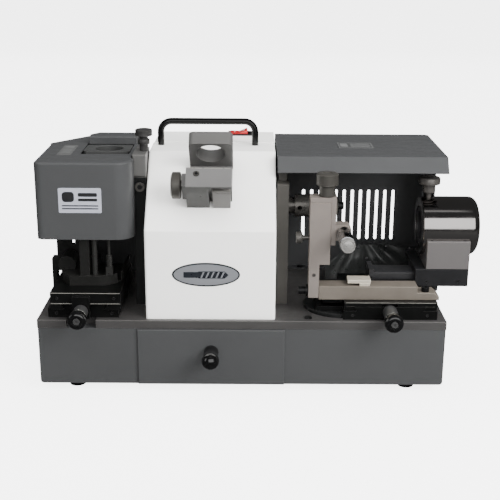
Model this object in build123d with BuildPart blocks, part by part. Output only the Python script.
"""Bench-top grinder that sharpens drill bits and end mills, built as separate pieces.

Every piece is laid out from one datum: the middle of the base plate's front edge, on its top face.
The model's origin lies on the floor, under the middle of the whole machine, with +X to the right,
+Y to the back and +Z up.
"""
import os
from math import atan2, cos, degrees, hypot, radians, sin

from build123d import *

os.makedirs("parts", exist_ok=True)

# Where the datum stands in the model's frame
DATUM_X = -21.0
DATUM_Y = -87.0
DATUM_Z = 90.0

# Base
PLATE_X = (-240.0, 240.0)
PLATE_Y = (0.0, 212.25)
PLATE_T = 10.0
SHEET = 1.5
CABINET_BOTTOM = -80.5
HOOD_SCREWS = ((78, 200), (226, 200))
PLATE_SCREWS = ((78, 11), (-135, 200)) + HOOD_SCREWS
FOOT_R = 11.0
FOOT_X = (-199.0, 199.0)
FOOT_Y = (22.0, 190.0)
FLOOR = -DATUM_Z

# Drawer
DRAWER_X = (-118.0, 46.0)
DRAWER_DEEP = 150.0
DRAWER_Z = (-77.0, -22.0)
DRAWER_FRONT_X = (-122.5, 50.5)
DRAWER_FRONT_Z = (-80.3, -11.0)
DRAWER_FRONT_Y = (-2.2, 0.2)
DRAWER_WALL = 1.2
BALL_R = 10.25
BALL_Y = -28.0
BALL_Z = -38.5

# Motor housing: an upright front, a slope and a flat top
HOUSING_X = (-112.5, 39.0)
HOUSING_FRONT = 5.0
HOUSING_FOLD_Z = 107.5
HOUSING_TOP_Y = 84.5
HOUSING_TOP = 184.4
HOUSING_SEAM_Y = 139.0
HOUSING_BACK = 209.0

# Motor line: shaft, bearings and wheels share this axis
AXIS_Y = 108.0
AXIS_Z = 112.0
SHAFT_R = 10.0
JOURNAL_R = 8.5
BEARING_R = 20.0
BEARING_T = 12.0
LEFT_PLATE_X = (-129.0, -114.0)
RIGHT_PLATE_X = (41.0, 55.0)
BOSS_R = 26.0
SHELL_R = 58.0
SHELL_X = (-99.5, 27.5)
NOSE_R = 14.0
LEFT_WHEEL_R = 39.0
LEFT_WHEEL_X = (-172.0, -152.0)
RIGHT_WHEEL_R = 26.0
RIGHT_WHEEL_X = (106.0, 117.0)
WHEEL_BORE_R = 8.0

# One collet chuck fits the seat, the gauge and the work head
CHUCK_R = 17.0

# Hood over the right-hand station
HOOD_X = (41.0, 242.0)
HOOD_LIP = (50.8, 166.2)
HOOD_FOLD = (64.4, 182.8)
HOOD_BACK_Y = 208.8
HOOD_SIDE_Y = 132.0
SLOT_COUNT = 12
SLOT_PITCH = 10.9
SLOT_FIRST_X = 80.6
SLOT_Z = (39.0, 108.0)
SLOT_W = 4.0

# Left-hand station
COVER_X = (-239.0, -127.0)
COVER_Y = (20.0, 129.0)
COVER_Z = (92.0, 183.0)
COVER_WALL = 2.0
COVER_NOSE_R = 20.0
COVER_WAIST_X = -130.6
COVER_WAIST_Y = 48.0
WINDOW_X = (-193.0, -134.6)
WINDOW_FRONT = 70.0
SEAT_X = (-192.0, -136.0)
SEAT_Y = (88.6, 128.6)
SEAT_Z = (160.0, 182.5)
SEAT_BORE = (-163.0, 108.6)
LEFT_SLIDE_X = (-223.0, -141.0)
LEFT_SLIDE_Z = (19.5, 34.0)
LEFT_SCREW = (-187.0, 12.0)
POST_XY = (-117.5, 78.0)
POST_TOP = 211.8

# Setting gauge, laid out along and out from the sloping front
SLOPE_RUN = HOUSING_TOP_Y - HOUSING_FRONT
SLOPE_RISE = HOUSING_TOP - HOUSING_FOLD_Z
SLOPE_ANGLE = degrees(atan2(SLOPE_RISE, SLOPE_RUN))
GAUGE_X = (-64.0, -12.0)
GAUGE_H = 45.5
GAUGE_S = (31.0, 57.5)
RING_S = (85.0, 102.0)
RING_H = 52.0
RING_BORE = (-37.0, 32.0)
GAUGE_SCREW = (46.0, 25.0)
GAUGE_KNOB_R = 15.5

# Right-hand station
SWIVEL = (118.0, 54.0)
SWIVEL_R = 43.0
RIGHT_SLIDE_X = (120.0, 229.0)
RIGHT_SLIDE_Y = (6.0, 112.0)
RIGHT_BASE_Y = (6.0, 110.0)
RIGHT_SCREW = (173.5, 10.0)
BAR_X = (90.3, 232.0)
BAR_Y = (14.0, 36.0)
BAR_Z = (22.0, 38.5)
BAR_STEP_X = 206.0
BAR_STEP_Z = 31.0
BAR_SCREW = (216.0, 20.5)
COLUMN_X = (78.0, 90.0)
COLUMN_WIDE_X = 102.0
COLUMN_Y = (15.0, 35.0)
COLUMN_Z = (24.0, 145.0)
COLUMN_STEP_Z = 65.0
COLUMN_SCREW = (97.3, 25.0)
PIVOT = (25.0, 30.0)
THUMB = (25.0, 95.0)
MICROMETER = (117.5, 102.5)
HEAD_AXIS = (75.0, 96.5)
HEAD_R = 35.5
HEAD_X = (213.7, 282.0)
HEAD_ROUND = 10.0
SPINDLE_X = (214.2, 280.2)
HEAD_BLOCK_X = (218.5, 269.5)
HEAD_BLOCK_Y = (36.5, 113.5)
HEAD_BLOCK_Z = (53.0, 87.0)
SPINDLE_R = 24.0
PLUNGER_X = 223.4
PLUNGER_TOP = 157.0

# Fits
RUNNING = 0.05
GAP = 0.3


def at(x, y, z):
    """A point given from the datum, in the model's frame."""
    return (DATUM_X + x, DATUM_Y + y, DATUM_Z + z)


def span(x, y, z, mode=Mode.ADD):
    """A block between two values on each axis."""
    with Locations(at(sum(x) / 2, sum(y) / 2, sum(z) / 2)):
        return Box(x[1] - x[0], y[1] - y[0], z[1] - z[0], mode=mode)


def rod(axis, radius, along, centre, mode=Mode.ADD, tip=None):
    """A round bar, or a taper where tip gives the radius at its far end.

    along holds the two ends on its axis, and centre its place on the other two axes.
    """
    start, stop = along
    if axis == "X":
        place = Location(at(start, centre[0], centre[1]), (0, 90, 0))
    elif axis == "Y":
        place = Location(at(centre[0], start, centre[1]), (-90, 0, 0))
    else:
        place = Location(at(centre[0], centre[1], start))
    align = (Align.CENTER, Align.CENTER, Align.MIN)
    with Locations(place):
        if tip is None:
            return Cylinder(radius, stop - start, align=align, mode=mode)
        return Cone(radius, tip, stop - start, align=align, mode=mode)


def side_plane(x):
    """A sketch plane square to X: its own x runs to the back and its own y runs up."""
    return Plane(origin=at(x, 0, 0), x_dir=(0, 1, 0), z_dir=(1, 0, 0))


def front_plane(y):
    """A sketch plane square to Y: its own x runs right and its own y runs up."""
    return Plane(origin=at(0, y, 0), x_dir=(1, 0, 0), z_dir=(0, -1, 0))


def floor_plane(z):
    """A sketch plane square to Z: its own x runs right and its own y runs to the back."""
    return Plane(origin=at(0, 0, z))


def slope_plane(x):
    """A sketch plane square to X: its own x runs up the slope and its own y runs out of it."""
    along = (0, cos(radians(SLOPE_ANGLE)), sin(radians(SLOPE_ANGLE)))
    return Plane(origin=at(x, HOUSING_FRONT, HOUSING_FOLD_Z), x_dir=along, z_dir=(1, 0, 0))


def save(piece, label):
    """Names a finished piece and writes it."""
    piece.part.label = label
    export_step(piece.part, f"parts/{label}.step")


def mid(pair):
    return sum(pair) / 2


# ---------------------------------------------------------------- base

with BuildPart() as base_plate:
    span(PLATE_X, PLATE_Y, (-PLATE_T, 0))
    span((-206, -171), (-1, 14), (-PLATE_T - 1, 1), Mode.SUBTRACT)
    chamfer(base_plate.edges().group_by(Axis.Z)[-1].filter_by(Axis.X).sort_by(Axis.Y)[0:3], 0.6)
    for spot in PLATE_SCREWS:
        rod("Z", 3.1, (-PLATE_T - 1, 1), spot, Mode.SUBTRACT)
save(base_plate, "base_plate")

CABINET_X = (PLATE_X[0] + 0.5, PLATE_X[1] - 0.5)
CABINET_Y = (PLATE_Y[0] + 0.5, PLATE_Y[1] - 0.5)
with BuildPart() as base_cabinet:
    span(CABINET_X, CABINET_Y, (CABINET_BOTTOM, -PLATE_T))
    fillet(base_cabinet.edges().filter_by(Axis.Y).group_by(Axis.Z)[0], 4)
    span(
        (CABINET_X[0] + SHEET, CABINET_X[1] - SHEET),
        (CABINET_Y[0] + SHEET, CABINET_Y[1] - SHEET),
        (CABINET_BOTTOM + SHEET, 0),
        Mode.SUBTRACT,
    )
    for inner in ((CABINET_Y[0] + SHEET, 17), (195, CABINET_Y[1] - SHEET)):
        span(CABINET_X, inner, (-PLATE_T - SHEET, -PLATE_T))
    span((-120.5, 48.5), (-1, 6), (-78.5, -PLATE_T - SHEET), Mode.SUBTRACT)
    for rail in ((-121.2, -110), (38, 49.2)):
        span(rail, (6, 160), (CABINET_BOTTOM + SHEET, DRAWER_Z[0] - GAP))
    for guide in ((-121.2, -120), (48, 49.2)):
        span(guide, (6, 160), (CABINET_BOTTOM + SHEET, -62))
    for x in FOOT_X:
        for y in FOOT_Y:
            rod("Z", 3.1, (CABINET_BOTTOM - 1, CABINET_BOTTOM + 3), (x, y), Mode.SUBTRACT)
    for spot in PLATE_SCREWS:
        rod("Z", 3.1, (-PLATE_T - 3, 1), spot, Mode.SUBTRACT)
save(base_cabinet, "base_cabinet")

with BuildPart() as rubber_feet:
    for x in FOOT_X:
        for y in FOOT_Y:
            rod("Z", FOOT_R - 1.5, (FLOOR, CABINET_BOTTOM), (x, y), tip=FOOT_R)
            rod("Z", 5.6, (FLOOR - 1, -84), (x, y), Mode.SUBTRACT)
            rod("Z", 3.1, (-85, CABINET_BOTTOM + 1), (x, y), Mode.SUBTRACT)
save(rubber_feet, "rubber_feet")

with BuildPart() as drawer:
    span(DRAWER_X, (DRAWER_FRONT_Y[1], DRAWER_DEEP), DRAWER_Z)
    span(
        (DRAWER_X[0] + DRAWER_WALL, DRAWER_X[1] - DRAWER_WALL),
        (DRAWER_FRONT_Y[1] + DRAWER_WALL, DRAWER_DEEP - DRAWER_WALL),
        (DRAWER_Z[0] + DRAWER_WALL, 0),
        Mode.SUBTRACT,
    )
    span(DRAWER_FRONT_X, DRAWER_FRONT_Y, DRAWER_FRONT_Z)
    chamfer(drawer.faces().sort_by(Axis.Y)[0].edges(), 0.6)
save(drawer, "drawer")

with BuildPart() as drawer_knob:
    knob_spot = (mid(DRAWER_FRONT_X), BALL_Z)
    rod("Y", 7.0, (BALL_Y + 6, -8), knob_spot, tip=8.0)
    rod("Y", 8.6, (-8, DRAWER_FRONT_Y[0]), knob_spot)
    with Locations(at(knob_spot[0], BALL_Y, BALL_Z)):
        Sphere(BALL_R)
save(drawer_knob, "drawer_knob")

# ---------------------------------------------------------------- motor housing

HOUSING_BEND = 3.0


def housing_profile(inset, back):
    """Side view of the front housing's skin, moved inwards by inset."""
    lean = radians(SLOPE_ANGLE)
    low = inset * (1 - sin(lean)) / cos(lean)
    return Polyline(
        (HOUSING_FRONT + inset, -inset),
        (HOUSING_FRONT + inset, HOUSING_FOLD_Z - low),
        (HOUSING_TOP_Y + inset * (1 - cos(lean)) / sin(lean), HOUSING_TOP - inset),
        (back, HOUSING_TOP - inset),
        (back, -inset),
        close=True,
    )


with BuildPart() as housing_front:
    with BuildSketch(side_plane(HOUSING_X[0])):
        with BuildLine():
            housing_profile(0, HOUSING_SEAM_Y)
        make_face()
    extrude(amount=HOUSING_X[1] - HOUSING_X[0])
    fillet(
        housing_front.edges().filter_by(Axis.X).filter_by_position(
            Axis.Z, DATUM_Z + HOUSING_FOLD_Z - 1, DATUM_Z + HOUSING_TOP + 1
        ).sort_by(Axis.Y)[0:2],
        HOUSING_BEND,
    )
    fillet(housing_front.edges().filter_by(Axis.Z).sort_by(Axis.Y)[0:2], HOUSING_BEND)
    with BuildSketch(side_plane(HOUSING_X[0] + SHEET)):
        with BuildLine():
            housing_profile(SHEET, HOUSING_SEAM_Y + 5)
        make_face()
    extrude(amount=HOUSING_X[1] - HOUSING_X[0] - 2 * SHEET, mode=Mode.SUBTRACT)
    span(HOUSING_X, (0, HOUSING_SEAM_Y + 5), (-5, 0), Mode.SUBTRACT)
    rod("X", BOSS_R + 1, (HOUSING_X[0] - 1, HOUSING_X[1] + 1), (AXIS_Y, AXIS_Z), Mode.SUBTRACT)
save(housing_front, "housing_front")

REAR_TOP = HOUSING_TOP + 0.9
SWITCH_X = (-20.0, 11.0)
SWITCH_Y = (178.5, 203.5)
INLET_XZ = (-76.0, 34.0)
with BuildPart() as housing_rear:
    span(HOUSING_X, (HOUSING_SEAM_Y + GAP, HOUSING_BACK), (0, REAR_TOP))
    chamfer(
        housing_rear.edges().filter_by(Axis.Y).group_by(Axis.Z)[-1].sort_by(Axis.X)[0],
        5,
    )
    fillet(housing_rear.edges().filter_by(Axis.X).group_by(Axis.Z)[-1].sort_by(Axis.Y)[-1], 3)
    span(
        (HOUSING_X[0] + SHEET, HOUSING_X[1] - SHEET),
        (HOUSING_SEAM_Y - 5, HOUSING_BACK - SHEET),
        (-1, HOUSING_TOP - 6),
        Mode.SUBTRACT,
    )
    span(
        (HOUSING_X[0] + 6, HOUSING_X[1] - SHEET),
        (HOUSING_SEAM_Y - 5, HOUSING_BACK - SHEET),
        (HOUSING_TOP - 7, REAR_TOP - SHEET),
        Mode.SUBTRACT,
    )
    span((-107, 39), (HOUSING_SEAM_Y - 3, HOUSING_SEAM_Y + 2), (HOUSING_TOP + GAP / 2, REAR_TOP + 0.3))
    span(
        (SWITCH_X[0] + 2.3, SWITCH_X[1] - 2.3),
        (SWITCH_Y[0] + 2.3, SWITCH_Y[1] - 2.3),
        (HOUSING_TOP - 5, REAR_TOP + 1),
        Mode.SUBTRACT,
    )
    span(
        (INLET_XZ[0] - 14.2, INLET_XZ[0] + 14.2),
        (HOUSING_BACK - 5, HOUSING_BACK + 1),
        (INLET_XZ[1] - 10.7, INLET_XZ[1] + 10.7),
        Mode.SUBTRACT,
    )
    with BuildSketch(front_plane(HOUSING_BACK - 5)):
        for row in (78, 120):
            with Locations((mid(HOUSING_X), row)):
                with GridLocations(9, 1, 11, 1):
                    SlotOverall(30, 3.2, rotation=90)
    extrude(amount=-7, mode=Mode.SUBTRACT)
save(housing_rear, "housing_rear")

HANDLE_X = (-101.0, 14.6)
HANDLE_Y = 122.0
HANDLE_R = 4.0
HANDLE_BEND = 13.0
HANDLE_AXIS_Z = 213.8
with BuildPart() as carrying_handle:
    with BuildLine(front_plane(HANDLE_Y)):
        FilletPolyline(
            (HANDLE_X[0], HOUSING_TOP),
            (HANDLE_X[0], HANDLE_AXIS_Z),
            (HANDLE_X[1], HANDLE_AXIS_Z),
            (HANDLE_X[1], HOUSING_TOP),
            radius=HANDLE_BEND,
        )
    with BuildSketch(floor_plane(HOUSING_TOP)):
        with Locations((HANDLE_X[0], HANDLE_Y)):
            Circle(HANDLE_R)
    sweep()
save(carrying_handle, "carrying_handle")

ROCKER_PIVOT = (-4.5, 181.6)
with BuildPart() as switch_bezel:
    span(SWITCH_X, SWITCH_Y, (REAR_TOP, REAR_TOP + 2))
    fillet(switch_bezel.edges().filter_by(Axis.Z), 2)
    span(
        (SWITCH_X[0] + 2.5, SWITCH_X[1] - 2.5),
        (SWITCH_Y[0] + 2.5, SWITCH_Y[1] - 2.5),
        (164, REAR_TOP),
    )
    span(
        (ROCKER_PIVOT[0] - 12.4, ROCKER_PIVOT[0] + 12.4),
        (SWITCH_Y[0] + 3.6, SWITCH_Y[1] - 3.6),
        (170, REAR_TOP + 3),
        Mode.SUBTRACT,
    )
save(switch_bezel, "switch_bezel")

ROCKER_REST = 10.0
with BuildPart() as switch_rocker:
    tilted = Plane(
        origin=at(ROCKER_PIVOT[0], SWITCH_Y[1] - 4, ROCKER_PIVOT[1]),
        x_dir=(cos(radians(ROCKER_REST)), 0, sin(radians(ROCKER_REST))),
        z_dir=(0, -1, 0),
    )
    with BuildSketch(tilted):
        with BuildLine():
            outline = Polyline((-10.8, 2), (-10.8, 9), (0, 6.6), (10.8, 9), (10.8, 2))
            ThreePointArc(outline @ 1, (0, -hypot(10.8, 2)), outline @ 0)
        make_face()
    extrude(amount=SWITCH_Y[1] - SWITCH_Y[0] - 8)
save(switch_rocker, "switch_rocker")

with BuildPart() as mains_inlet:
    inlet_x, inlet_z = INLET_XZ
    span((inlet_x - 20, inlet_x + 20), (HOUSING_BACK, PLATE_Y[1] - 0.25), (inlet_z - 13, inlet_z + 13))
    fillet(mains_inlet.edges().filter_by(Axis.Y), 3)
    span((inlet_x - 14, inlet_x + 14), (190, HOUSING_BACK), (inlet_z - 10.5, inlet_z + 10.5))
    span((inlet_x - 12, inlet_x + 12), (194, 215), (inlet_z - 8, inlet_z + 8), Mode.SUBTRACT)
save(mains_inlet, "mains_inlet")

# ---------------------------------------------------------------- motor and grinding spindle

AXIS = (AXIS_Y, AXIS_Z)

with BuildPart() as motor_shell:
    rod("X", SHELL_R, SHELL_X, AXIS)
    for foot in ((-90, -70), (0, 20)):
        span(foot, (AXIS_Y - 34, AXIS_Y + 34), (0, AXIS_Z - 30))
    rod("X", SHELL_R - 4, (SHELL_X[0] + 4, SHELL_X[1] - 4), AXIS, Mode.SUBTRACT)
    rod("X", BOSS_R - 8, (SHELL_X[0] - 1, SHELL_X[1] + 1), AXIS, Mode.SUBTRACT)
save(motor_shell, "motor_shell")

with BuildPart() as motor_stator:
    rod("X", SHELL_R - 4, (-70, -2), AXIS)
    for overhang in ((-86, -70), (-2, 14)):
        rod("X", 50, overhang, AXIS)
    rod("X", 30.5, (-87, 15), AXIS, Mode.SUBTRACT)
save(motor_stator, "motor_stator")

with BuildPart() as rotor_core:
    rod("X", 30, (-72, 0), AXIS)
    for ring in ((-78, -72), (0, 6)):
        rod("X", 27, ring, AXIS)
    rod("X", SHAFT_R, (-79, 7), AXIS, Mode.SUBTRACT)
save(rotor_core, "rotor_core")

LEFT_BEARING_X = (LEFT_PLATE_X[1] - BEARING_T, LEFT_PLATE_X[1])
RIGHT_BEARING_X = (RIGHT_PLATE_X[0], RIGHT_PLATE_X[0] + BEARING_T)
with BuildPart() as motor_shaft:
    rod("X", SHAFT_R, (LEFT_BEARING_X[1], RIGHT_BEARING_X[0]), AXIS)
    rod("X", JOURNAL_R, (LEFT_WHEEL_X[1], RIGHT_PLATE_X[1]), AXIS)
    rod("X", 11, (LEFT_WHEEL_X[1], LEFT_WHEEL_X[1] + 6), AXIS)
    rod("X", WHEEL_BORE_R, (LEFT_WHEEL_X[0], LEFT_WHEEL_X[1]), AXIS)
    rod("X", 10.5, (RIGHT_PLATE_X[1] + GAP, 64), AXIS)
    rod("X", NOSE_R, (64, RIGHT_WHEEL_X[0]), AXIS)
    rod("X", WHEEL_BORE_R, (RIGHT_WHEEL_X[0], RIGHT_WHEEL_X[1] - 1), AXIS)
    rod("X", JOURNAL_R, (RIGHT_BEARING_X[1], 64), AXIS)
    rod("Y", 2.8, (AXIS_Y - 20, AXIS_Y + 20), (70, AXIS_Z), Mode.SUBTRACT)
    rod("X", 4.1, (LEFT_WHEEL_X[0] - 1, LEFT_WHEEL_X[0] + 16), AXIS, Mode.SUBTRACT)
    rod("X", 4.1, (RIGHT_WHEEL_X[1] - 18, RIGHT_WHEEL_X[1] + 1), AXIS, Mode.SUBTRACT)
save(motor_shaft, "motor_shaft")

with BuildPart() as left_wheel:
    rod("X", LEFT_WHEEL_R, LEFT_WHEEL_X, AXIS)
    chamfer(left_wheel.edges().filter_by(GeomType.CIRCLE), 2)
    rod("X", 20, (LEFT_WHEEL_X[0] - 1, LEFT_WHEEL_X[0] + 5), AXIS, Mode.SUBTRACT)
    rod("X", WHEEL_BORE_R, (LEFT_WHEEL_X[0] - 1, LEFT_WHEEL_X[1] + 1), AXIS, Mode.SUBTRACT)
save(left_wheel, "left_wheel")

with BuildPart() as right_wheel:
    rim = RIGHT_WHEEL_X[0] + 5
    rod("X", RIGHT_WHEEL_R - 2, (RIGHT_WHEEL_X[0], RIGHT_WHEEL_X[0] + 1.5), AXIS, tip=RIGHT_WHEEL_R)
    rod("X", RIGHT_WHEEL_R, (RIGHT_WHEEL_X[0] + 1.5, rim), AXIS)
    rod("X", RIGHT_WHEEL_R, (rim, RIGHT_WHEEL_X[1]), AXIS, tip=11)
    rod("X", WHEEL_BORE_R, (RIGHT_WHEEL_X[0] - 1, RIGHT_WHEEL_X[1] + 1), AXIS, Mode.SUBTRACT)
save(right_wheel, "right_wheel")

with BuildPart() as wheel_bolts:
    rod("X", 9.5, (RIGHT_WHEEL_X[1], RIGHT_WHEEL_X[1] + 1.5), AXIS)
    rod("X", 4.7, (RIGHT_WHEEL_X[1] + 1.5, RIGHT_WHEEL_X[1] + 8), AXIS)
    rod("X", 4.0, (RIGHT_WHEEL_X[1] - 14, RIGHT_WHEEL_X[1]), AXIS)
    rod("X", 12, (LEFT_WHEEL_X[0] + 3, LEFT_WHEEL_X[0] + 5), AXIS)
    rod("X", WHEEL_BORE_R, (LEFT_WHEEL_X[0], LEFT_WHEEL_X[0] + 6), AXIS, Mode.SUBTRACT)
    rod("X", 12, (LEFT_WHEEL_X[0] - 2, LEFT_WHEEL_X[0]), AXIS)
    rod("X", 4.7, (LEFT_WHEEL_X[0] - 9, LEFT_WHEEL_X[0] - 2), AXIS)
    rod("X", 4.0, (LEFT_WHEEL_X[0], LEFT_WHEEL_X[0] + 12), AXIS)
save(wheel_bolts, "wheel_bolts")

with BuildPart() as shaft_bearings:
    for place in (LEFT_BEARING_X, RIGHT_BEARING_X):
        rod("X", BEARING_R, place, AXIS)
        rod("X", JOURNAL_R + RUNNING, (place[0] - 1, place[1] + 1), AXIS, Mode.SUBTRACT)
save(shaft_bearings, "shaft_bearings")

with BuildPart() as left_bearing_plate:
    span(LEFT_PLATE_X, (55, 134), (0, 158))
    rod("X", BOSS_R, (LEFT_PLATE_X[1], SHELL_X[0]), AXIS)
    rod("X", 11.5, (LEFT_PLATE_X[0] - 10, SHELL_X[0] + 1), AXIS, Mode.SUBTRACT)
    rod("X", BEARING_R, LEFT_BEARING_X, AXIS, Mode.SUBTRACT)
save(left_bearing_plate, "left_bearing_plate")

with BuildPart() as right_bearing_plate:
    span(RIGHT_PLATE_X, (60, 158), (0, 150))
    span((43, 53), (78, 112), (150, 163))
    chamfer(right_bearing_plate.edges().filter_by(Axis.X).group_by(Axis.Z)[-2], 1.5)
    rod("X", BOSS_R, (SHELL_X[1], RIGHT_PLATE_X[0]), AXIS)
    rod("X", 11.5, (SHELL_X[1] - 1, RIGHT_PLATE_X[1] + 1), AXIS, Mode.SUBTRACT)
    rod("X", BEARING_R, RIGHT_BEARING_X, AXIS, Mode.SUBTRACT)
save(right_bearing_plate, "right_bearing_plate")

with BuildPart() as run_capacitor:
    rod("X", 15, (-40, 20), (188, 24))
    span((-30, 10), (180, 196), (0, 12))
save(run_capacitor, "run_capacitor")

# ---------------------------------------------------------------- hood

with BuildPart() as hood:
    with BuildSketch(side_plane(HOOD_X[0])):
        with BuildLine():
            lip_run = HOOD_FOLD[0] - HOOD_LIP[0]
            lip_rise = HOOD_FOLD[1] - HOOD_LIP[1]
            reach = hypot(lip_run, lip_rise)
            skin = (SHEET * lip_rise / reach, -SHEET * lip_run / reach)
            bend = SHEET * (1 - lip_run / reach) / (lip_rise / reach)
            Polyline(
                HOOD_LIP,
                HOOD_FOLD,
                (HOOD_BACK_Y, HOOD_FOLD[1]),
                (HOOD_BACK_Y, HOOD_FOLD[1] - SHEET),
                (HOOD_FOLD[0] + bend, HOOD_FOLD[1] - SHEET),
                (HOOD_LIP[0] + skin[0], HOOD_LIP[1] + skin[1]),
                close=True,
            )
        make_face()
    extrude(amount=HOOD_X[1] - HOOD_X[0])
    fillet(
        hood.edges().filter_by(Axis.X).filter_by_position(
            Axis.Z, DATUM_Z + HOOD_FOLD[1] - 0.1, DATUM_Z + HOOD_FOLD[1] + 0.1
        ).sort_by(Axis.Y)[0],
        1.4,
    )
    corner = hood.edges().filter_by(Axis.Z).group_by(Axis.X)[-1].sort_by(Axis.Y)[-1]
    chamfer(corner, 4)
save(hood, "hood")

with BuildPart() as hood_back:
    span(HOOD_X, (HOOD_BACK_Y - SHEET, HOOD_BACK_Y), (0, HOOD_FOLD[1] - SHEET))
    span((HOOD_X[0], HOOD_X[0] + SHEET), (160, HOOD_BACK_Y), (0, HOOD_FOLD[1] - SHEET))
    span((HOOD_X[1] - SHEET, HOOD_X[1]), (HOOD_SIDE_Y, HOOD_BACK_Y - 4), (0, HOOD_FOLD[1] - SHEET))
    span(HOOD_X, (HOOD_BACK_Y - 14, HOOD_BACK_Y), (0, SHEET))
    for spot in HOOD_SCREWS:
        rod("Z", 3.1, (-1, SHEET + 1), spot, Mode.SUBTRACT)
    with BuildSketch(front_plane(HOOD_BACK_Y - 5)):
        with Locations((SLOT_FIRST_X + SLOT_PITCH * (SLOT_COUNT - 1) / 2, mid(SLOT_Z))):
            with GridLocations(SLOT_PITCH, 1, SLOT_COUNT, 1):
                SlotOverall(SLOT_Z[1] - SLOT_Z[0], SLOT_W, rotation=90)
    extrude(amount=-7, mode=Mode.SUBTRACT)
save(hood_back, "hood_back")

# ---------------------------------------------------------------- left-hand station


def dovetail(low_x, high_x, low_z, high_z, inset, plane_y, length, mode):
    """A way of dovetail section along Y, narrower at the bottom by inset on each side."""
    with BuildSketch(front_plane(plane_y)) as section:
        with BuildLine():
            Polyline(
                (low_x + inset, low_z),
                (high_x - inset, low_z),
                (high_x, high_z),
                (low_x, high_z),
                close=True,
            )
        make_face()
    extrude(section.sketch, amount=-length, mode=mode)


with BuildPart() as left_slide_base:
    span((-228, -145), (9, 118), (0, 11.5))
    dovetail(-212, -156, 11.4, 19.2, 4.5, 9, 109, Mode.ADD)
    rod("Y", 5.0, (0, 119), LEFT_SCREW, Mode.SUBTRACT)
save(left_slide_base, "left_slide_base")

with BuildPart() as left_slide:
    span(LEFT_SLIDE_X, (0, 112), LEFT_SLIDE_Z)
    span(LEFT_SLIDE_X, (3, 112), (11.9, LEFT_SLIDE_Z[0]))
    dovetail(-212.4, -155.6, 11.3, 19.6, 4.7, 3, 109, Mode.SUBTRACT)
    span((-197, -177), (-4, 0), (3, LEFT_SLIDE_Z[1] - 4))
    span((-194, -180), (-4, 3), (20, 24))
    rod("Y", 4.0, (-5, 3), LEFT_SCREW, Mode.SUBTRACT)
    chamfer(left_slide.edges().filter_by(Axis.X).group_by(Axis.Z)[-1], 0.8)
save(left_slide, "left_slide")


def feed_knob(name, spot, front):
    """Round knob with a domed rim, seen from the front."""
    with BuildPart() as knob:
        rod("Y", 10.8, (front, front + 11), spot)
        fillet(knob.edges().filter_by(GeomType.CIRCLE).sort_by(Axis.Y)[0], 4)
        fillet(knob.edges().filter_by(GeomType.CIRCLE).sort_by(Axis.Y)[-1], 1.5)
        rod("Y", 7.0, (front + 11, front + 15), spot)
        rod("Y", 4.2, (front - 1, front + 2.5), spot, Mode.SUBTRACT)
        rod("Y", 3.0, (front, front + 16), spot, Mode.SUBTRACT)
    save(knob, name)


def feed_screw(name, spot, front, shoulder, reach):
    """Lead screw with its dial collar in front of the shoulder and its end screw in the knob."""
    with BuildPart() as screw:
        rod("Y", 3.0, (front + 2, reach), spot)
        rod("Y", 8.5, (front + 15, shoulder - GAP), spot)
        rod("Y", 3.95, (shoulder - 1, reach), spot)
        rod("Y", 3.9, (front, front + 2.5), spot)
        with BuildSketch(front_plane(front + 1.2)):
            with Locations(spot):
                RegularPolygon(1.9, 6)
        extrude(amount=2, mode=Mode.SUBTRACT)
    save(screw, name)


LEFT_KNOB_FRONT = -37.0
RIGHT_KNOB_FRONT = -36.0
feed_knob("left_feed_knob", LEFT_SCREW, LEFT_KNOB_FRONT)
feed_screw("left_feed_screw", LEFT_SCREW, LEFT_KNOB_FRONT, -4, 90)

SEAT_FOOT_Z = (34.0, 46.0)
with BuildPart() as seat_frame:
    with BuildSketch(floor_plane(SEAT_FOOT_Z[0])):
        with BuildLine():
            foot_front = Polyline((-214, 108), (-214, 40), (-204, 25), (-172, 25))
            foot_bend = TangentArc(foot_front @ 1, (-142, 60), tangent=(1, 0))
            Polyline(foot_bend @ 1, (-142, 108), foot_front @ 0)
        make_face()
    extrude(amount=SEAT_FOOT_Z[1] - SEAT_FOOT_Z[0])
    span((-178, -145), (36, 109), (SEAT_FOOT_Z[0] + 1, 60), Mode.SUBTRACT)
    span((-191, -180), (27, 35), (34, SEAT_Z[0] + 12))
    span((-191, -180), (27, SEAT_Y[0]), (SEAT_Z[0], SEAT_Z[0] + 12))
    span((-229.5, -193), (88, 95), (46, SEAT_Z[0] + 12))
    span((-235, -206), (80, 95), (LEFT_SLIDE_Z[1] + GAP, 50))
    span((-235, -229.5), (80, 95), (10, 50))
    for slot in (-211, -203):
        span((slot, slot + 4), (87, 96), (66, 74), Mode.SUBTRACT)
    rod("Y", 10.5, (52, 80), (-211, 51))
save(seat_frame, "seat_frame")

with BuildPart() as seat_rods:
    rod("Z", 3.2, (SEAT_FOOT_Z[1], SEAT_Z[0] + 6), (-174, 31))
    rod("Z", 1.6, (70, SEAT_Z[0] + 6), (-157, 31))
    rod("Z", 3.4, (56, 70), (-157, 31))
    span((-178, -153), (27, 35), (SEAT_Z[0] + 6, SEAT_Z[0] + 12))
    span((-161, -153), (28, 36), (SEAT_FOOT_Z[1], 56))
save(seat_rods, "seat_rods")

with BuildPart() as chuck_seat:
    span(SEAT_X, SEAT_Y, SEAT_Z)
    chamfer(chuck_seat.edges().filter_by(Axis.Z), 3)
    rod("Z", CHUCK_R, (SEAT_Z[0] - 1, SEAT_Z[1] + 1), SEAT_BORE, Mode.SUBTRACT)
    chamfer(
        chuck_seat.edges().filter_by(GeomType.CIRCLE).sort_by(Axis.Z)[-1],
        0.8,
    )
save(chuck_seat, "chuck_seat")


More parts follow.
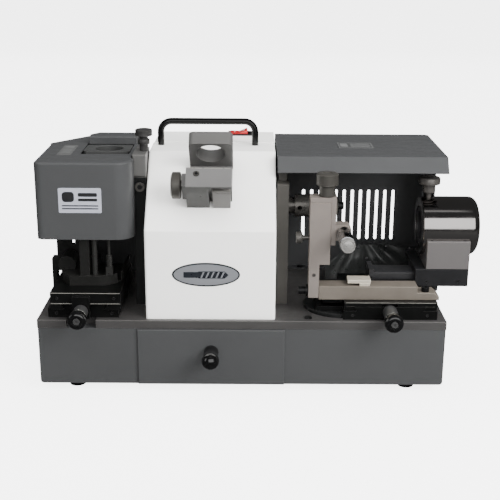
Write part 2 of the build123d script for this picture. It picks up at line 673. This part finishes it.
def cover_outline(inset, front_r):
    """Plan of the pull-off cover: wide in front, with a waist on the right for the bracket."""
    left = COVER_X[0] + inset
    right = COVER_X[1] - inset
    waist = COVER_WAIST_X - inset
    front = COVER_Y[0] + inset
    back = COVER_Y[1] + inset
    edge = Polyline((left, back), (left, front + 9 - inset))
    nose_left = TangentArc(edge @ 1, (left + 9 - inset, front), tangent=(0, -1))
    face = Line(nose_left @ 1, (right - front_r + inset, front))
    nose_right = TangentArc(face @ 1, (right, front + front_r - inset), tangent=(1, 0))
    Polyline(
        nose_right @ 1,
        (right, COVER_WAIST_Y - inset),
        (waist, COVER_WAIST_Y + 1 - inset),
        (waist, back),
        edge @ 0,
    )


with BuildPart() as left_cover:
    with BuildSketch(floor_plane(COVER_Z[0])):
        with BuildLine():
            cover_outline(0, COVER_NOSE_R)
        make_face()
    extrude(amount=COVER_Z[1] - COVER_Z[0])
    fillet(left_cover.faces().sort_by(Axis.Z)[-1].edges().group_by(Axis.Y)[0:4], 2.5)
    with BuildSketch(floor_plane(COVER_Z[0] - 1)):
        with BuildLine():
            cover_outline(COVER_WALL, COVER_NOSE_R)
        make_face()
    extrude(amount=COVER_Z[1] - COVER_Z[0] + 1 - COVER_WALL, mode=Mode.SUBTRACT)
    span(WINDOW_X, (WINDOW_FRONT, COVER_Y[1] + 1), (COVER_Z[1] - 10, COVER_Z[1] + 1), Mode.SUBTRACT)
    span(
        (COVER_WAIST_X - COVER_WALL - 1, COVER_WAIST_X + 1),
        (AXIS_Y - 14, COVER_Y[1] + 1),
        (COVER_Z[0] - 1, AXIS_Z + 14),
        Mode.SUBTRACT,
    )
save(left_cover, "left_cover")

GUARD_FRONT = 129.6
GUARD_BACK = 186.0
HUMP_X = (-190.0, -132.0)
HUMP_BACK = 160.0


def guard_outline(inset):
    """Plan of the rear guard: its left side runs in towards the back."""
    Polyline(
        (COVER_X[0] + inset, GUARD_FRONT),
        (COVER_WAIST_X - inset, GUARD_FRONT),
        (COVER_WAIST_X - inset, GUARD_BACK - inset),
        (-198 + inset * 0.6, GUARD_BACK - inset),
        (COVER_X[0] + inset, 136 + inset * 0.4),
        close=True,
    )


with BuildPart() as rear_guard:
    with BuildSketch(floor_plane(0)):
        with BuildLine():
            guard_outline(0)
        make_face()
    extrude(amount=COVER_Z[1])
    with BuildSketch(floor_plane(-1)):
        with BuildLine():
            guard_outline(COVER_WALL)
        make_face()
    extrude(amount=COVER_Z[1] + 1 - COVER_WALL, mode=Mode.SUBTRACT)
    span((COVER_X[0] - 1, COVER_X[1]), (GUARD_FRONT - 1, HUMP_BACK), (-1, COVER_Z[0]), Mode.SUBTRACT)
    span(WINDOW_X, (GUARD_FRONT - 1, 137), (COVER_Z[1] - 5, COVER_Z[1] + 1), Mode.SUBTRACT)
    with BuildSketch(floor_plane(COVER_Z[1])):
        with BuildLine():
            Polyline(
                (HUMP_X[0], GUARD_FRONT),
                (HUMP_X[1], GUARD_FRONT),
                (HUMP_X[1], HUMP_BACK),
                (HUMP_X[0] + 8, HUMP_BACK),
                (HUMP_X[0] - 2, HUMP_BACK - 14),
                close=True,
            )
        make_face()
    extrude(amount=9.5)
    chamfer(rear_guard.faces().sort_by(Axis.Z)[-1].edges(), 1.2)
    span((COVER_WAIST_X - 3, COVER_WAIST_X + 1), (129, 135), (COVER_Z[0] - 1, 159), Mode.SUBTRACT)
save(rear_guard, "rear_guard")

BRACKET_X = (-129.0, -113.3)
BRACKET_Z = (158.0, 186.0)
with BuildPart() as cover_bracket:
    span(BRACKET_X, (52, 100), (160, BRACKET_Z[1]))
    span((BRACKET_X[0] + 1, BRACKET_X[1]), (55.5, 100), (BRACKET_Z[0], 160))
    chamfer(cover_bracket.faces().sort_by(Axis.Y)[0].edges(), 1)
    rod("Z", 4.0, (BRACKET_Z[0] - 1, BRACKET_Z[1] + 1), POST_XY, Mode.SUBTRACT)
save(cover_bracket, "cover_bracket")

with BuildPart() as post_knob:
    rod("Z", 3.95, (BRACKET_Z[0] + 4, BRACKET_Z[1] + 4), POST_XY)
    rod("Z", 5.2, (BRACKET_Z[1] + GAP, 205), POST_XY)
    rod("Z", 7.0, (194, 200), POST_XY)
    rod("Z", 10.2, (204, POST_TOP), POST_XY)
    chamfer(post_knob.edges().filter_by(GeomType.CIRCLE).sort_by(Axis.Z)[-1], 1)
save(post_knob, "post_knob")

# ---------------------------------------------------------------- setting gauge


def slope_block(x, s, h, mode=Mode.ADD):
    """A block on the sloping front: s runs up the slope and h runs out of it."""
    with BuildSketch(slope_plane(x[0])) as section:
        with Locations((mid(s), mid(h))):
            Rectangle(s[1] - s[0], h[1] - h[0])
    extrude(section.sketch, amount=x[1] - x[0], mode=mode)


def slope_point(x, s, h):
    """A point on the sloping front, in the model's frame."""
    run = cos(radians(SLOPE_ANGLE))
    rise = sin(radians(SLOPE_ANGLE))
    return at(x, HOUSING_FRONT + run * s - rise * h, HOUSING_FOLD_Z + rise * s + run * h)


GAUGE_CHANNEL_X = (-38.0, GAUGE_X[1] + 1)
JAW_H = 34.5
with BuildPart() as gauge_body:
    slope_block(GAUGE_X, GAUGE_S, (0, GAUGE_H))
    chamfer(gauge_body.edges().filter_by(Axis.X), 0.8)
    slope_block((GAUGE_X[0] - 5, GAUGE_X[0] + 1), (38, 55), (8, 36))
    slope_block((GAUGE_X[0] + 2, GAUGE_X[1]), (GAUGE_S[1] - 1, RING_S[0]), (0, 6))
    slope_block(GAUGE_CHANNEL_X, (GAUGE_S[0] - 1, GAUGE_S[0] + 9), (-1, JAW_H + 1.5), Mode.SUBTRACT)
    slope_block(
        (GAUGE_CHANNEL_X[0] + 2, GAUGE_CHANNEL_X[1]),
        (GAUGE_S[0] - 1, GAUGE_S[0] + 4),
        (JAW_H + 1, JAW_H + 8),
        Mode.SUBTRACT,
    )
    with Locations(Location(slope_point(GAUGE_X[0] - 6, *GAUGE_SCREW), (0, 90, 0))):
        Cylinder(3.05, 60, align=(Align.CENTER, Align.CENTER, Align.MIN), mode=Mode.SUBTRACT)
save(gauge_body, "gauge_body")

with BuildPart() as gauge_ring:
    slope_block((-62, -11.5), RING_S, (0, RING_H))
    fillet(
        gauge_ring.edges().filter_by(
            lambda e: abs(e.tangent_at(0).X) < 0.01 and abs(e.length - (RING_S[1] - RING_S[0])) < 0.01
        ).sort_by(Axis.Z)[-2:],
        6,
    )
    bore_start = slope_point(RING_BORE[0], RING_S[0] - 2, RING_BORE[1])
    with Locations(Location(bore_start, (SLOPE_ANGLE - 90, 0, 0))):
        Cylinder(CHUCK_R, 25, align=(Align.CENTER, Align.CENTER, Align.MIN), mode=Mode.SUBTRACT)
save(gauge_ring, "gauge_ring")

JAW_X = (-33.8, -13.6)
with BuildPart() as gauge_jaw:
    slope_block(JAW_X, (GAUGE_S[0] + 0.6, GAUGE_S[0] + 8.7), (GAP, JAW_H))
    slope_block((JAW_X[0], JAW_X[1] - 0.1), (GAUGE_S[0], GAUGE_S[0] + 1), (GAP, JAW_H - 3.5))
save(gauge_jaw, "gauge_jaw")

with BuildPart() as gauge_knob:
    knob_start = GAUGE_X[0] - 5
    with Locations(Location(slope_point(knob_start - 12.6, *GAUGE_SCREW), (0, 90, 0))):
        Cylinder(GAUGE_KNOB_R, 11.5, align=(Align.CENTER, Align.CENTER, Align.MIN))
    chamfer(gauge_knob.edges().filter_by(GeomType.CIRCLE), 1.2)
    with Locations(Location(slope_point(knob_start - 2, *GAUGE_SCREW), (0, 90, 0))):
        Cylinder(6, 1.6, align=(Align.CENTER, Align.CENTER, Align.MIN))
        Cylinder(3, 40, align=(Align.CENTER, Align.CENTER, Align.MIN))
save(gauge_knob, "gauge_knob")

# ---------------------------------------------------------------- right-hand station

with BuildPart() as swivel_base:
    rod("Z", SWIVEL_R, (0, 5), SWIVEL)
    chamfer(swivel_base.edges().filter_by(GeomType.CIRCLE).sort_by(Axis.Z)[-1], 1)
    rod("Z", 9.95, (4, 10.6), SWIVEL)
save(swivel_base, "swivel_base")

with BuildPart() as right_slide_base:
    span((119, 229.5), RIGHT_BASE_Y, (0.4, 11))
    span((88, 120), (22, 92), (5.3, 11))
    dovetail(132, 216, 10.9, 16, 3, RIGHT_BASE_Y[0], RIGHT_BASE_Y[1] - RIGHT_BASE_Y[0], Mode.ADD)
    rod("Z", SWIVEL_R + GAP, (-1, 5.3), SWIVEL, Mode.SUBTRACT)
    rod("Z", 10, (0, 17), SWIVEL, Mode.SUBTRACT)
    rod("Y", 4.0, (0, 113), RIGHT_SCREW, Mode.SUBTRACT)
save(right_slide_base, "right_slide_base")

feed_knob("right_feed_knob", RIGHT_SCREW, RIGHT_KNOB_FRONT)
feed_screw("right_feed_screw", RIGHT_SCREW, RIGHT_KNOB_FRONT, RIGHT_SLIDE_Y[0], 100)

with BuildPart() as right_slide:
    span(RIGHT_SLIDE_X, RIGHT_SLIDE_Y, (16.6, 22))
    span(RIGHT_SLIDE_X, (RIGHT_SLIDE_Y[0] + 2, RIGHT_SLIDE_Y[1]), (11.4, 16.6))
    dovetail(131.6, 216.4, 10.8, 16.4, 3.3, RIGHT_SLIDE_Y[0], 108, Mode.SUBTRACT)
    span((96, RIGHT_SLIDE_X[0]), (24, 90), (14.5, 22))
    span(
        (RIGHT_SCREW[0] - 9.5, RIGHT_SCREW[0] + 9.5),
        (RIGHT_SLIDE_Y[0] - 1, RIGHT_SLIDE_Y[0] + 7),
        (10, 19.3),
        Mode.SUBTRACT,
    )
save(right_slide, "right_slide")

with BuildPart() as table_bar:
    span(BAR_X, BAR_Y, BAR_Z)
    span((BAR_STEP_X, BAR_X[1] + 1), (BAR_Y[0] - 1, BAR_Y[1] + 1), (BAR_STEP_Z, BAR_Z[1] + 1), Mode.SUBTRACT)
    chamfer(table_bar.edges().filter_by(Axis.Y).sort_by(Axis.X)[-1], 5, 6)
    chamfer(table_bar.faces().sort_by(Axis.Y)[0].edges(), 0.5)
    rod("X", 3.5, (BAR_X[0] - 1, 112), PIVOT, Mode.SUBTRACT)
    rod("Z", 3.1, (BAR_Z[0] + 2, BAR_STEP_Z + 1), BAR_SCREW, Mode.SUBTRACT)
save(table_bar, "table_bar")

RAIL_X = (158.0, 262.0)
RAIL_FOOT_END = 236.0
RAIL_Y = (45.0, 75.0)
with BuildPart() as cross_rail:
    span((RAIL_X[0], RAIL_FOOT_END), (RAIL_Y[0] + 3, RAIL_Y[1] - 3), (22, 34))
    span(RAIL_X, (RAIL_Y[0] + 3, RAIL_Y[1] - 3), (34, 40))
    span(RAIL_X, RAIL_Y, (38, 46))
    chamfer(cross_rail.edges().filter_by(Axis.X).group_by(Axis.Z)[-1], 1)
    span((RAIL_X[0] - 6, RAIL_X[0]), (RAIL_Y[0] - 2, RAIL_Y[1] + 2), (24, 50))
save(cross_rail, "cross_rail")

with BuildPart() as table_screws:
    rod("Z", 4.6, (BAR_STEP_Z, BAR_STEP_Z + 5.5), BAR_SCREW)
    rod("Z", 3.0, (BAR_Z[0] + 3, BAR_STEP_Z), BAR_SCREW)
    with BuildSketch(floor_plane(BAR_STEP_Z + 3)):
        with Locations(BAR_SCREW):
            RegularPolygon(2.3, 6)
    extrude(amount=3, mode=Mode.SUBTRACT)
    rod("X", 3.5, (COLUMN_X[0] - GAP, 110), PIVOT)
    rod("X", 7.5, (75.6, COLUMN_X[0] - GAP), PIVOT)
    rod("X", 4.6, (66.5, 75.6), PIVOT)
save(table_screws, "table_screws")

BOOT_X = (106.0, 230.0)
BOOT_Y = (117.0, 131.0)
BOOT_Z = (8.0, 56.0)
with BuildPart() as dust_boot:
    with BuildSketch(front_plane(BOOT_Y[0])):
        with BuildLine():
            Polyline(
                (BOOT_X[0], BOOT_Z[0]),
                (BOOT_X[1], BOOT_Z[0]),
                (BOOT_X[1], BOOT_Z[1] - 3),
                (148, BOOT_Z[1]),
                (BOOT_X[0] + 14, BOOT_Z[1] - 16),
                (BOOT_X[0], BOOT_Z[1] - 28),
                close=True,
            )
        make_face()
    extrude(amount=-(BOOT_Y[1] - BOOT_Y[0]))
    span((134, 214), (RIGHT_SLIDE_Y[1], BOOT_Y[0]), (17, 21))
save(dust_boot, "dust_boot")

STOP_Z = (41.5, 45.5)
with BuildPart() as table_stop:
    span((138, 150), (BAR_Y[0] + 2, BAR_Y[1] - 2), (BAR_Z[1] + RUNNING, STOP_Z[0]))
    span((124, 151), (BAR_Y[0] + 3, BAR_Y[1] - 2), STOP_Z)
    chamfer(table_stop.edges().filter_by(Axis.X).group_by(Axis.Z)[-1], 0.6)
save(table_stop, "table_stop")

with BuildPart() as column_post:
    span(COLUMN_X, COLUMN_Y, COLUMN_Z)
    span((COLUMN_X[0], COLUMN_WIDE_X), COLUMN_Y, (COLUMN_STEP_Z, COLUMN_Z[1]))
    span((COLUMN_X[0] - 1, COLUMN_WIDE_X + 1), (COLUMN_Y[0] - 1, COLUMN_Y[0] + 0.6), (138.6, 139.6), Mode.SUBTRACT)
    span((92, COLUMN_WIDE_X + 1), (19.5, 30.5), (COLUMN_STEP_Z + 6, 135), Mode.SUBTRACT)
    rod("Z", 4.05, (130, COLUMN_Z[1] + 1), COLUMN_SCREW, Mode.SUBTRACT)
    rod("X", 3.5 + RUNNING, (COLUMN_X[0] - 1, COLUMN_X[1] + 1), PIVOT, Mode.SUBTRACT)
    rod("X", 2.55, (COLUMN_X[0] - 1, 93), THUMB, Mode.SUBTRACT)
save(column_post, "column_post")

with BuildPart() as column_slide:
    span((COLUMN_WIDE_X + GAP, 108), (17, 34), (88, 145))
    span((93, COLUMN_WIDE_X + GAP), (20, 30), (93, 112))
    span((COLUMN_WIDE_X + GAP, 126), (18, 36), (93.5, 111.5))
    fillet(column_slide.edges().filter_by(Axis.Y).sort_by(Axis.X)[-2:], 5)
    rod("Z", 4.05, (92, 113), COLUMN_SCREW, Mode.SUBTRACT)
    rod("Y", 6.2, (8, 44), MICROMETER)
    rod("Y", 3.3, (0, 50), MICROMETER, Mode.SUBTRACT)
save(column_slide, "column_slide")

with BuildPart() as column_knob:
    rod("Z", 4.0, (80, COLUMN_Z[1] + 2), COLUMN_SCREW)
    rod("Z", 9.4, (COLUMN_Z[1] + GAP, 158), COLUMN_SCREW)
    rod("Z", 12.8, (158, 172), COLUMN_SCREW)
    chamfer(column_knob.edges().filter_by(GeomType.CIRCLE).filter_by(lambda e: e.radius > 12), 1.5)
save(column_knob, "column_knob")

with BuildPart() as thumb_screw:
    rod("X", 2.5, (69, 91), THUMB)
    rod("X", 7.0, (62.5, 70), THUMB)
    chamfer(thumb_screw.edges().filter_by(GeomType.CIRCLE).filter_by(lambda e: e.radius > 6), 1)
save(thumb_screw, "thumb_screw")

with BuildPart() as micrometer_thimble:
    rod("Y", 8.6, (-28, 17), MICROMETER)
    rod("Y", 7.4, (-35, -28), MICROMETER)
    chamfer(micrometer_thimble.edges().filter_by(GeomType.CIRCLE).sort_by(Axis.Y)[0], 0.8)
    chamfer(micrometer_thimble.edges().filter_by(GeomType.CIRCLE).sort_by(Axis.Y)[-1], 1.2)
    rod("Y", 6.25, (6, 18), MICROMETER, Mode.SUBTRACT)
    rod("Y", 3.2, (5, 62), MICROMETER)
save(micrometer_thimble, "micrometer_thimble")

with BuildPart() as head_slide:
    span((206, 269.5), HEAD_BLOCK_Y, (46.4, HEAD_BLOCK_Z[0]))
    span((206, 269.5), (HEAD_BLOCK_Y[0], RAIL_Y[0] - 0.35), (31.5, 47))
    span((206, 269.5), (RAIL_Y[1] + 0.35, 86), (31.5, 47))
    chamfer(head_slide.faces().sort_by(Axis.Y)[0].edges(), 0.6)
save(head_slide, "head_slide")

with BuildPart() as head_block:
    span(HEAD_BLOCK_X, HEAD_BLOCK_Y, HEAD_BLOCK_Z)
    chamfer(head_block.faces().sort_by(Axis.Y)[0].edges(), 0.6)
    rod("X", HEAD_R, (HEAD_BLOCK_X[0] - 1, HEAD_BLOCK_X[1] + 1), HEAD_AXIS, Mode.SUBTRACT)
save(head_block, "head_block")

PLUNGER_XY = (PLUNGER_X, HEAD_AXIS[0])
BARREL_TOP = HEAD_AXIS[1] + HEAD_R
PIN_R = 3.2
with BuildPart() as head_barrel:
    rod("X", HEAD_R, HEAD_X, HEAD_AXIS)
    fillet(head_barrel.edges().filter_by(GeomType.CIRCLE).sort_by(Axis.X)[-1], HEAD_ROUND)
    chamfer(head_barrel.edges().filter_by(GeomType.CIRCLE).sort_by(Axis.X)[0], 1)
    rod("X", SPINDLE_R + RUNNING, (HEAD_X[0] - 1, HEAD_X[1] + 1), HEAD_AXIS, Mode.SUBTRACT)
    rod("Z", PIN_R + RUNNING, (HEAD_AXIS[1] + 20, HEAD_AXIS[1] + 40), PLUNGER_XY, Mode.SUBTRACT)
save(head_barrel, "head_barrel")

with BuildPart() as head_spindle:
    rod("X", SPINDLE_R, SPINDLE_X, HEAD_AXIS)
    chamfer(head_spindle.edges().filter_by(GeomType.CIRCLE).sort_by(Axis.X)[0], 0.8)
    rod("X", CHUCK_R, (SPINDLE_X[0] - 1, SPINDLE_X[1] + 1), HEAD_AXIS, Mode.SUBTRACT)
save(head_spindle, "head_spindle")

with BuildPart() as index_plunger:
    rod("Z", PIN_R, (HEAD_AXIS[1] + SPINDLE_R + 0.6, BARREL_TOP + 7), PLUNGER_XY)
    rod("Z", 7.6, (BARREL_TOP + 6, PLUNGER_TOP - 8.5), PLUNGER_XY)
    rod("Z", 13, (PLUNGER_TOP - 8.5, PLUNGER_TOP), PLUNGER_XY)
    fillet(index_plunger.edges().filter_by(GeomType.CIRCLE).sort_by(Axis.Z)[-1], 2)
save(index_plunger, "index_plunger")

# ---------------------------------------------------------------- fasteners of the fixed frame

CAP_SCREW = (-120.5, 148.5)
with BuildPart() as frame_screws:
    for x in FOOT_X:
        for y in FOOT_Y:
            rod("Z", 5.4, (-87, -84), (x, y))
            rod("Z", 3.0, (-84, -73), (x, y))
    for spot in PLATE_SCREWS:
        seat = SHEET if spot in HOOD_SCREWS else 0
        rod("Z", 4.8, (seat, seat + 1.2), spot)
        rod("Z", 4.8, (seat + 1.2, seat + 2.2), spot, tip=3.2)
        rod("Z", 3.0, (-19, seat), spot)
    rod("Y", 6.0, (47.5, 55), CAP_SCREW)
    with BuildSketch(front_plane(51)):
        with Locations(CAP_SCREW):
            RegularPolygon(3, 6)
    extrude(amount=5, mode=Mode.SUBTRACT)
    with Locations(Location(slope_point(-52, 48.5, GAUGE_H), (SLOPE_ANGLE, 0, 0))):
        Cylinder(3.4, 1, align=(Align.CENTER, Align.CENTER, Align.MIN))
save(frame_screws, "frame_screws")
